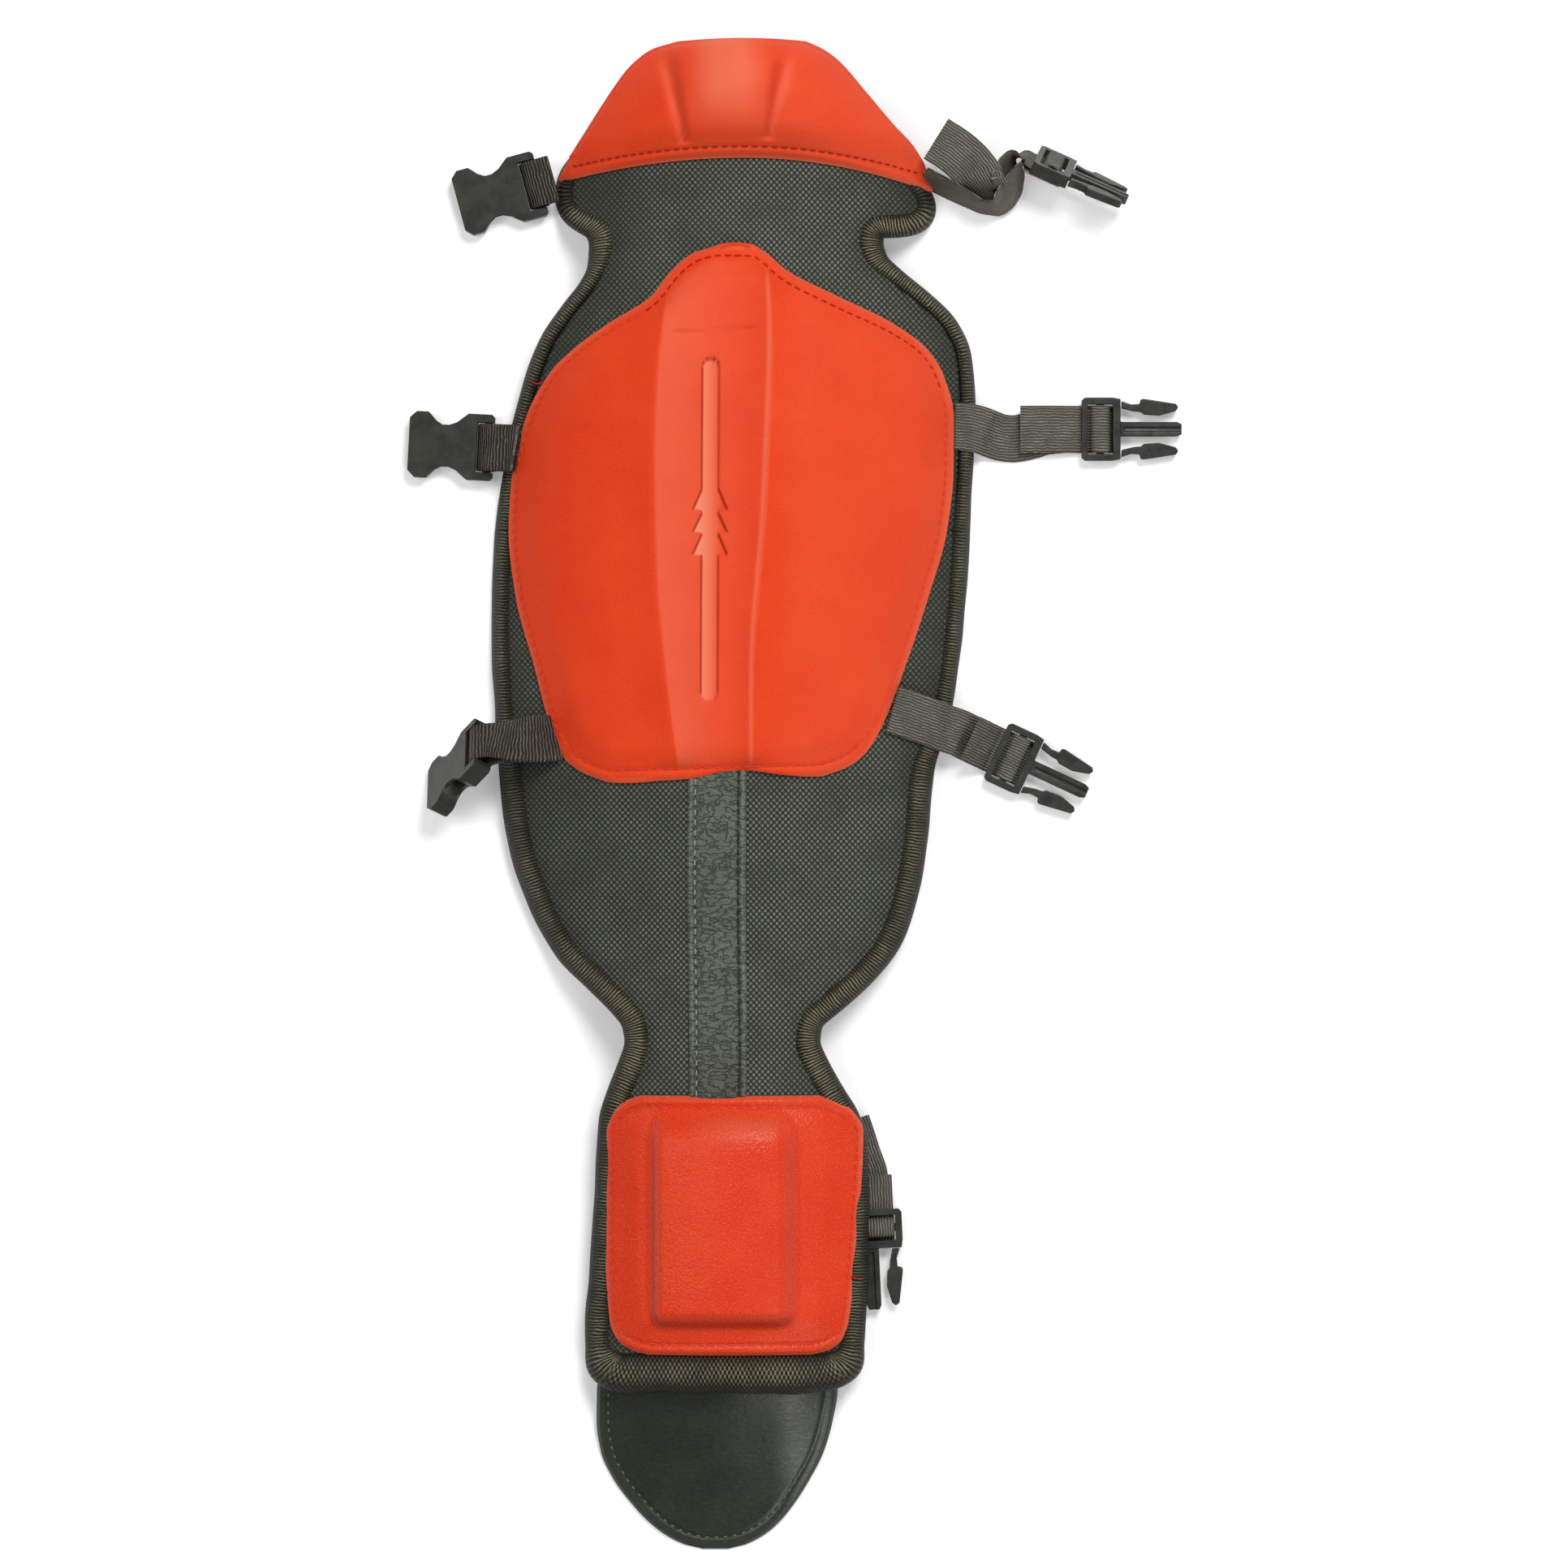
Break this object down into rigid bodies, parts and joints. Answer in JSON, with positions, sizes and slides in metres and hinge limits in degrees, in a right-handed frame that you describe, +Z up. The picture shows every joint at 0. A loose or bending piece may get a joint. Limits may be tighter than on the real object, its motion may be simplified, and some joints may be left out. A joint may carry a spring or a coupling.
{
  "type": "leg guard",
  "caption": "Padded leg guard with moulded knee, shin and instep plates on a bound cloth body, a toe flap and webbing straps with side-release buckles, lying on its back.",
  "frame": {"origin": "middle of the whole lay on the floor, under the guard and its spread straps", "axes": "+Y towards the knee end, +Z up out of the outer face, +X to the side of the adjustable straps"},
  "size_m": [0.3288, 0.6356, 0.0679],
  "materials": {
    "cloth": "matte dotted basket weave",
    "binding": "ribbed woven tape",
    "foam": "closed-cell foam",
    "shell": "satin with a fine grain",
    "vinyl": "grained and slightly glossy",
    "webbing": "ribbed webbing",
    "buckle": "semi-gloss moulded"
  },
  "bodies": {
    "shin": {"shin_outer_cloth": "cloth", "shin_foam": "foam", "shin_lining": "cloth", "shin_binding_left": "binding", "shin_binding_right": "binding", "shin_shell": "shell", "centre_strip_shin": "vinyl"},
    "knee": {"knee_outer_cloth": "cloth", "knee_foam": "foam", "knee_lining": "cloth", "knee_binding": "binding", "knee_cap": "shell", "knee_cushion": "foam"},
    "instep": {"instep_outer_cloth": "cloth", "instep_foam": "foam", "instep_lining": "cloth", "instep_binding": "binding", "instep_shell": "shell", "centre_strip_instep": "vinyl"},
    "toe": {"toe_flap": "vinyl"},
    "tab_knee": {"tab_knee": "webbing"},
    "socket_knee": {"socket_knee": "buckle"},
    "tab_shin_upper": {"tab_shin_upper": "webbing"},
    "socket_shin_upper": {"socket_shin_upper": "buckle"},
    "tab_shin_lower": {"tab_shin_lower": "webbing"},
    "socket_shin_lower": {"socket_shin_lower": "buckle"},
    "tab_ankle": {"tab_ankle": "webbing"},
    "socket_ankle": {"socket_ankle": "buckle"},
    "strap_knee": {"strap_knee": "webbing"},
    "plug_knee": {"plug_knee": "buckle", "tail_knee": "webbing"},
    "plug_arm_knee_left": {"plug_arm_knee_left": "buckle"},
    "plug_arm_knee_right": {"plug_arm_knee_right": "buckle"},
    "strap_shin_upper": {"strap_shin_upper": "webbing"},
    "plug_shin_upper": {"plug_shin_upper": "buckle", "tail_shin_upper": "webbing"},
    "plug_arm_shin_upper_left": {"plug_arm_shin_upper_left": "buckle"},
    "plug_arm_shin_upper_right": {"plug_arm_shin_upper_right": "buckle"},
    "strap_shin_lower": {"strap_shin_lower": "webbing"},
    "plug_shin_lower": {"plug_shin_lower": "buckle", "tail_shin_lower": "webbing"},
    "plug_arm_shin_lower_left": {"plug_arm_shin_lower_left": "buckle"},
    "plug_arm_shin_lower_right": {"plug_arm_shin_lower_right": "buckle"},
    "strap_ankle": {"strap_ankle": "webbing"},
    "plug_ankle": {"plug_ankle": "buckle", "tail_ankle": "webbing"},
    "plug_arm_ankle_left": {"plug_arm_ankle_left": "buckle"},
    "plug_arm_ankle_right": {"plug_arm_ankle_right": "buckle"}
  },
  "joints": [
    {"name": "knee_fold", "type": "hinge", "parent": "shin", "child": "knee", "pos_m": [-0.028, 0.2335, 0.026], "axis": [-1, 0, 0], "range_deg": [-5, 35]},
    {"name": "ankle_fold", "type": "hinge", "parent": "shin", "child": "instep", "pos_m": [-0.028, -0.104, 0.038], "axis": [-1, 0, 0], "range_deg": [-5, 80]},
    {"name": "toe_fold", "type": "hinge", "parent": "instep", "child": "toe", "pos_m": [-0.028, -0.2516, 0.021], "axis": [-1, 0, 0], "range_deg": [-5, 60]},
    {"name": "tab_knee_swing", "type": "hinge", "parent": "knee", "child": "tab_knee", "pos_m": [-0.1014, 0.2616, 0.0118], "axis": [-0.2707, 0.9627, 0], "range_deg": [0, 60]},
    {"name": "socket_knee_turn", "type": "hinge", "parent": "tab_knee", "child": "socket_knee", "pos_m": [-0.1095, 0.2594, 0.0045], "axis": [-0.2588, 0.9659, 0], "range_deg": [-45, 20]},
    {"name": "tab_shin_upper_swing", "type": "hinge", "parent": "shin", "child": "tab_shin_upper", "pos_m": [-0.117, 0.1469, 0.01738], "axis": [0.0665, 0.9978, 0], "range_deg": [0, 60]},
    {"name": "socket_shin_upper_turn", "type": "hinge", "parent": "tab_shin_upper", "child": "socket_shin_upper", "pos_m": [-0.1295, 0.1476, 0.0045], "axis": [0.0523, 0.9986, 0], "range_deg": [-45, 20]},
    {"name": "tab_shin_lower_swing", "type": "hinge", "parent": "shin", "child": "tab_shin_lower", "pos_m": [-0.1016, 0.024, 0.03497], "axis": [-0.0339, 0.9994, 0], "range_deg": [0, 60]},
    {"name": "socket_shin_lower_turn", "type": "hinge", "parent": "tab_shin_lower", "child": "socket_shin_lower", "pos_m": [-0.132, 0.0202, 0.0296], "axis": [-0.0023, 0.7048, -0.7094], "range_deg": [-20, 45]},
    {"name": "tab_ankle_swing", "type": "hinge", "parent": "instep", "child": "tab_ankle", "pos_m": [-0.073, -0.15, 0.0095], "axis": [0, 1, 0], "range_deg": [0, 80]},
    {"name": "socket_ankle_turn", "type": "hinge", "parent": "tab_ankle", "child": "socket_ankle", "pos_m": [-0.059, -0.15, 0.0045], "axis": [0, -1, 0], "range_deg": [-45, 15]},
    {"name": "strap_knee_swing", "type": "hinge", "parent": "knee", "child": "strap_knee", "pos_m": [0.0614, 0.2595, 0.0118], "axis": [0, 0.2496, 0.9684], "range_deg": [-45, 0]},
    {"name": "plug_knee_slide", "type": "slide", "parent": "strap_knee", "child": "plug_knee", "axis": [0.9135, -0.4067, 0], "range_m": [-0.003, 0]},
    {"name": "plug_arm_knee_left_press", "type": "hinge", "parent": "plug_knee", "child": "plug_arm_knee_left", "pos_m": [0.11993, 0.26373, 0.00359], "axis": [-0.3771, -0.847, -0.3746], "range_deg": [0, 7], "stiffness_Nm_per_rad": 0.01},
    {"name": "plug_arm_knee_right_press", "type": "hinge", "parent": "plug_knee", "child": "plug_arm_knee_right", "pos_m": [0.11663, 0.25633, 0.02361], "axis": [0.3771, 0.847, 0.3746], "range_deg": [0, 7], "stiffness_Nm_per_rad": 0.01},
    {"name": "strap_shin_upper_swing", "type": "hinge", "parent": "shin", "child": "strap_shin_upper", "pos_m": [0.0689, 0.1564, 0.01558], "axis": [-0.0244, -0.9997, 0], "range_deg": [0, 60]},
    {"name": "plug_shin_upper_slide", "type": "slide", "parent": "strap_shin_upper", "child": "plug_shin_upper", "axis": [1, 0, 0], "range_m": [-0.008, 0]},
    {"name": "plug_arm_shin_upper_left_press", "type": "hinge", "parent": "plug_shin_upper", "child": "plug_arm_shin_upper_left", "pos_m": [0.1407, 0.1663, 0.0021], "axis": [0, 0, -1], "range_deg": [0, 7], "stiffness_Nm_per_rad": 0.01},
    {"name": "plug_arm_shin_upper_right_press", "type": "hinge", "parent": "plug_shin_upper", "child": "plug_arm_shin_upper_right", "pos_m": [0.1407, 0.1447, 0.0021], "axis": [0, 0, 1], "range_deg": [0, 7], "stiffness_Nm_per_rad": 0.01},
    {"name": "strap_shin_lower_swing", "type": "hinge", "parent": "shin", "child": "strap_shin_lower", "pos_m": [0.0423, 0.0362, 0.03422], "axis": [-0.2976, -0.9547, 0], "range_deg": [0, 60]},
    {"name": "plug_shin_lower_slide", "type": "slide", "parent": "strap_shin_lower", "child": "plug_shin_lower", "axis": [0.9063, -0.4226, 0], "range_m": [-0.005, 0]},
    {"name": "plug_arm_shin_lower_left_press", "type": "hinge", "parent": "plug_shin_lower", "child": "plug_arm_shin_lower_left", "pos_m": [0.10733, 0.0212, 0.0021], "axis": [0, 0, -1], "range_deg": [0, 7], "stiffness_Nm_per_rad": 0.01},
    {"name": "plug_arm_shin_lower_right_press", "type": "hinge", "parent": "plug_shin_lower", "child": "plug_arm_shin_lower_right", "pos_m": [0.09821, 0.00162, 0.0021], "axis": [0, 0, 1], "range_deg": [0, 7], "stiffness_Nm_per_rad": 0.01},
    {"name": "strap_ankle_swing", "type": "hinge", "parent": "instep", "child": "strap_ankle", "pos_m": [0.026, -0.139, 0.0032], "axis": [0.9459, 0.3243, 0], "range_deg": [0, 60]},
    {"name": "plug_ankle_slide", "type": "slide", "parent": "strap_ankle", "child": "plug_ankle", "axis": [0.0471, -0.9989, 0], "range_m": [-0.008, 0]},
    {"name": "plug_arm_ankle_left_press", "type": "hinge", "parent": "plug_ankle", "child": "plug_arm_ankle_left", "pos_m": [0.04445, -0.19339, 0.0021], "axis": [0, 0, -1], "range_deg": [0, 7], "stiffness_Nm_per_rad": 0.01},
    {"name": "plug_arm_ankle_right_press", "type": "hinge", "parent": "plug_ankle", "child": "plug_arm_ankle_right", "pos_m": [0.02288, -0.19441, 0.0021], "axis": [0, 0, 1], "range_deg": [0, 7], "stiffness_Nm_per_rad": 0.01}
  ]
}
